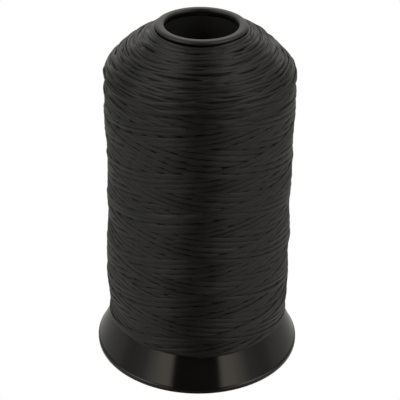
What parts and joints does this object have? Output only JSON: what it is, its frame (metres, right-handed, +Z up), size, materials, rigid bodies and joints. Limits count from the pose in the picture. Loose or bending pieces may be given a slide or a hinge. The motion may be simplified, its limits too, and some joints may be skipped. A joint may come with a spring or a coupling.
{
  "type": "spool of thread",
  "caption": "Tall spool of flat black thread, cross-wound with rounded shoulders on a moulded barrel with a rim collar, standing on a flared round base.",
  "frame": {"origin": "on the spool's axis, in the plane of the base's lower edge, which is what it stands on", "axes": "+Z up along the spool's axis, from the flared base to the rim; X and Y lie in the table plane, and the camera side is -Y"},
  "size_m": [0.086, 0.086, 0.1464],
  "materials": {
    "base_plastic": "polished black moulding",
    "barrel_plastic": "fine matte moulding",
    "rim_plastic": "satin moulding",
    "thread": "satin, bonded flat filament thread"
  },
  "bodies": {
    "root": {"base_flange": "base_plastic", "barrel_tube": "barrel_plastic", "top_rim": "rim_plastic", "thread_winding": "thread"}
  },
  "joints": []
}
